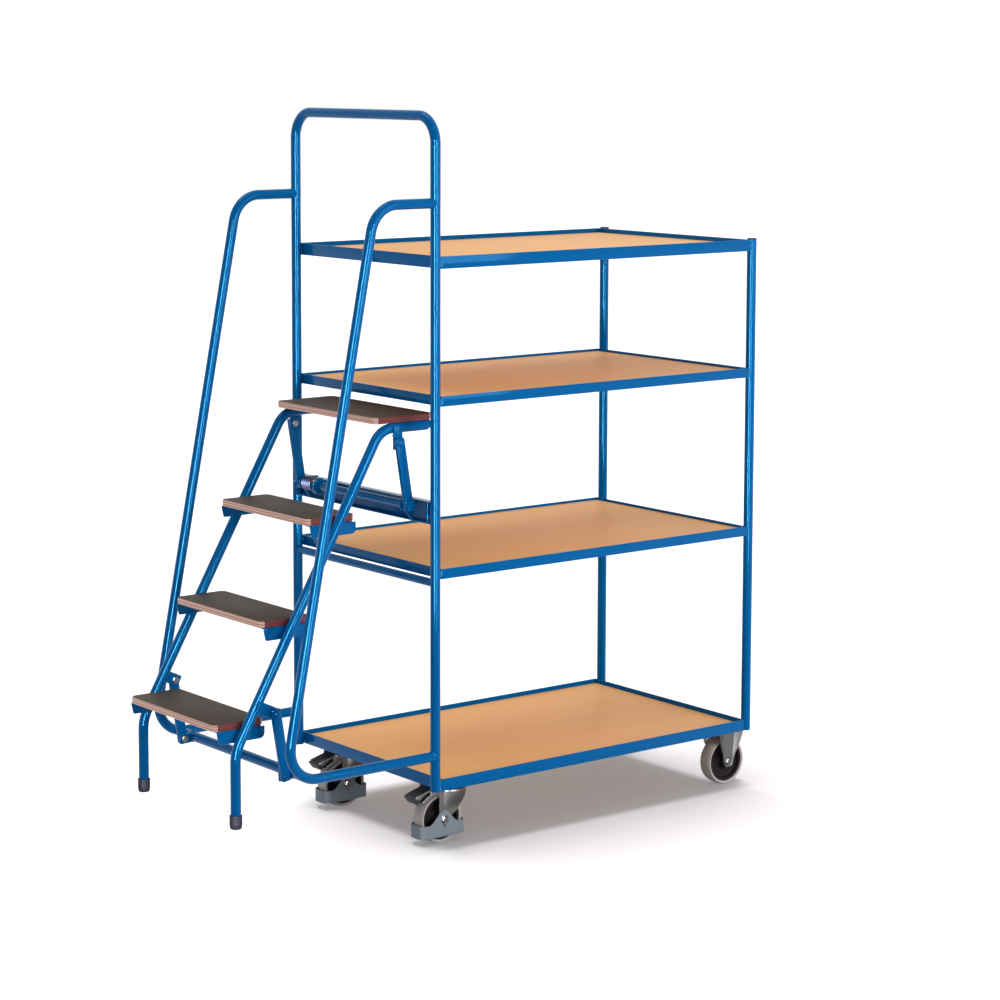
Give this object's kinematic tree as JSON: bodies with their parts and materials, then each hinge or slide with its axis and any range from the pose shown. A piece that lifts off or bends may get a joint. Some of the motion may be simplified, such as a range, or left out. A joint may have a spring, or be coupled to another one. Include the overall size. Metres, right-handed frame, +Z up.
{
  "type": "order picking trolley",
  "caption": "Four shelf picking trolley with a push handle, handrails and a sprung ladder that swings down to the floor on parallel links; two lockable swivel castors and two fixed ones.",
  "frame": {"origin": "middle of the trolley's length and width, on the floor", "axes": "+X from the ladder end to the rear end, +Y to the left side, +Z up"},
  "size_m": [1.6496, 0.615, 1.8105],
  "materials": {
    "paint": "blue powder coat, smooth satin gloss",
    "beech": "beech decor chipboard, fine even grain",
    "film": "brown film faced plywood with an anti-slip top",
    "cap": "black moulded plastic",
    "rubber": "black moulded rubber",
    "tyre": "grey solid rubber, faintly marked",
    "core": "dark moulded plastic",
    "zinc": "bright zinc plated pressed steel",
    "spring": "dark spring steel wire",
    "guard": "grey moulded plastic",
    "pedal": "black moulded plastic"
  },
  "bodies": {
    "chassis": {"handle_frame": "paint", "rear_post_right": "paint", "rear_post_left": "paint", "post_cap_right": "cap", "post_cap_left": "cap", "shelf_frame_1": "paint", "shelf_frame_2": "paint", "shelf_frame_3": "paint", "shelf_frame_4": "paint", "shelf_board_1": "beech", "shelf_board_2": "beech", "shelf_board_3": "beech", "shelf_board_4": "beech", "handrail_right": "paint", "handrail_left": "paint", "rail_tie": "paint", "shelf_stay": "paint", "lift_channel": "paint", "torsion_spring": "spring", "swivel_plate_right": "zinc", "swivel_plate_left": "zinc", "fixed_fork_right": "zinc", "fixed_fork_left": "zinc"},
    "upper_links": {"upper_link_right": "paint", "upper_link_left": "paint", "lift_shaft": "zinc"},
    "ladder": {"stringer_right": "paint", "stringer_left": "paint", "ladder_foot_right": "rubber", "ladder_foot_left": "rubber", "tread_1": "film", "tread_2": "film", "tread_3": "film", "tread_4": "film", "tread_bracket_1_right": "paint", "tread_bracket_1_left": "paint", "tread_bracket_2_right": "paint", "tread_bracket_2_left": "paint", "tread_bracket_3_right": "paint", "tread_bracket_3_left": "paint"},
    "lower_links": {"lower_link_right": "paint", "lower_link_left": "paint"},
    "swivel_right": {"swivel_fork_right": "zinc", "foot_guard_right": "guard", "swivel_axle_right": "zinc"},
    "swivel_wheel_right": {"swivel_core_right": "core", "swivel_tyre_right": "tyre"},
    "pedal_right": {"brake_pedal_right": "pedal"},
    "fixed_wheel_right": {"fixed_core_right": "core", "fixed_tyre_right": "tyre"},
    "swivel_left": {"swivel_fork_left": "zinc", "foot_guard_left": "guard", "swivel_axle_left": "zinc"},
    "swivel_wheel_left": {"swivel_core_left": "core", "swivel_tyre_left": "tyre"},
    "pedal_left": {"brake_pedal_left": "pedal"},
    "fixed_wheel_left": {"fixed_core_left": "core", "fixed_tyre_left": "tyre"}
  },
  "joints": [
    {"name": "ladder_lift", "type": "hinge", "parent": "chassis", "child": "upper_links", "pos_m": [-0.28869, 0, 0.8585], "axis": [0, -1, 0], "range_deg": [0, 72.7], "stiffness_Nm_per_rad": 8.2, "springref_deg": -22.92},
    {"name": "ladder_hang", "type": "hinge", "parent": "upper_links", "child": "ladder", "pos_m": [-0.31443, 0, 1.01236], "axis": [0, -1, 0], "range_deg": [-72.7, 0]},
    {"name": "lower_link_swing", "type": "hinge", "parent": "chassis", "child": "lower_links", "pos_m": [-0.65168, 0, 0.245], "axis": [0, -1, 0], "range_deg": [0, 72.7]},
    {"name": "swivel_turn_right", "type": "hinge", "parent": "chassis", "child": "swivel_right", "pos_m": [-0.14769, -0.208, 0.13], "axis": [0, 0, 1], "continuous": true},
    {"name": "swivel_roll_right", "type": "hinge", "parent": "swivel_right", "child": "swivel_wheel_right", "pos_m": [-0.18368, -0.208, 0.0625], "axis": [0, 1, 0], "continuous": true},
    {"name": "brake_press_right", "type": "hinge", "parent": "swivel_right", "child": "pedal_right", "pos_m": [-0.21369, -0.208, 0.14], "axis": [0, -1, 0], "range_deg": [0, 6]},
    {"name": "fixed_roll_right", "type": "hinge", "parent": "chassis", "child": "fixed_wheel_right", "pos_m": [0.76231, -0.223, 0.0625], "axis": [0, 1, 0], "continuous": true},
    {"name": "swivel_turn_left", "type": "hinge", "parent": "chassis", "child": "swivel_left", "pos_m": [-0.14769, 0.208, 0.13], "axis": [0, 0, 1], "continuous": true},
    {"name": "swivel_roll_left", "type": "hinge", "parent": "swivel_left", "child": "swivel_wheel_left", "pos_m": [-0.18368, 0.208, 0.0625], "axis": [0, 1, 0], "continuous": true},
    {"name": "brake_press_left", "type": "hinge", "parent": "swivel_left", "child": "pedal_left", "pos_m": [-0.21369, 0.208, 0.14], "axis": [0, -1, 0], "range_deg": [0, 6]},
    {"name": "fixed_roll_left", "type": "hinge", "parent": "chassis", "child": "fixed_wheel_left", "pos_m": [0.76231, 0.223, 0.0625], "axis": [0, 1, 0], "continuous": true}
  ],
  "couplings": [
    {"joint": "ladder_hang", "follows": "ladder_lift", "ratio": -1},
    {"joint": "lower_link_swing", "follows": "ladder_lift", "ratio": 1}
  ]
}
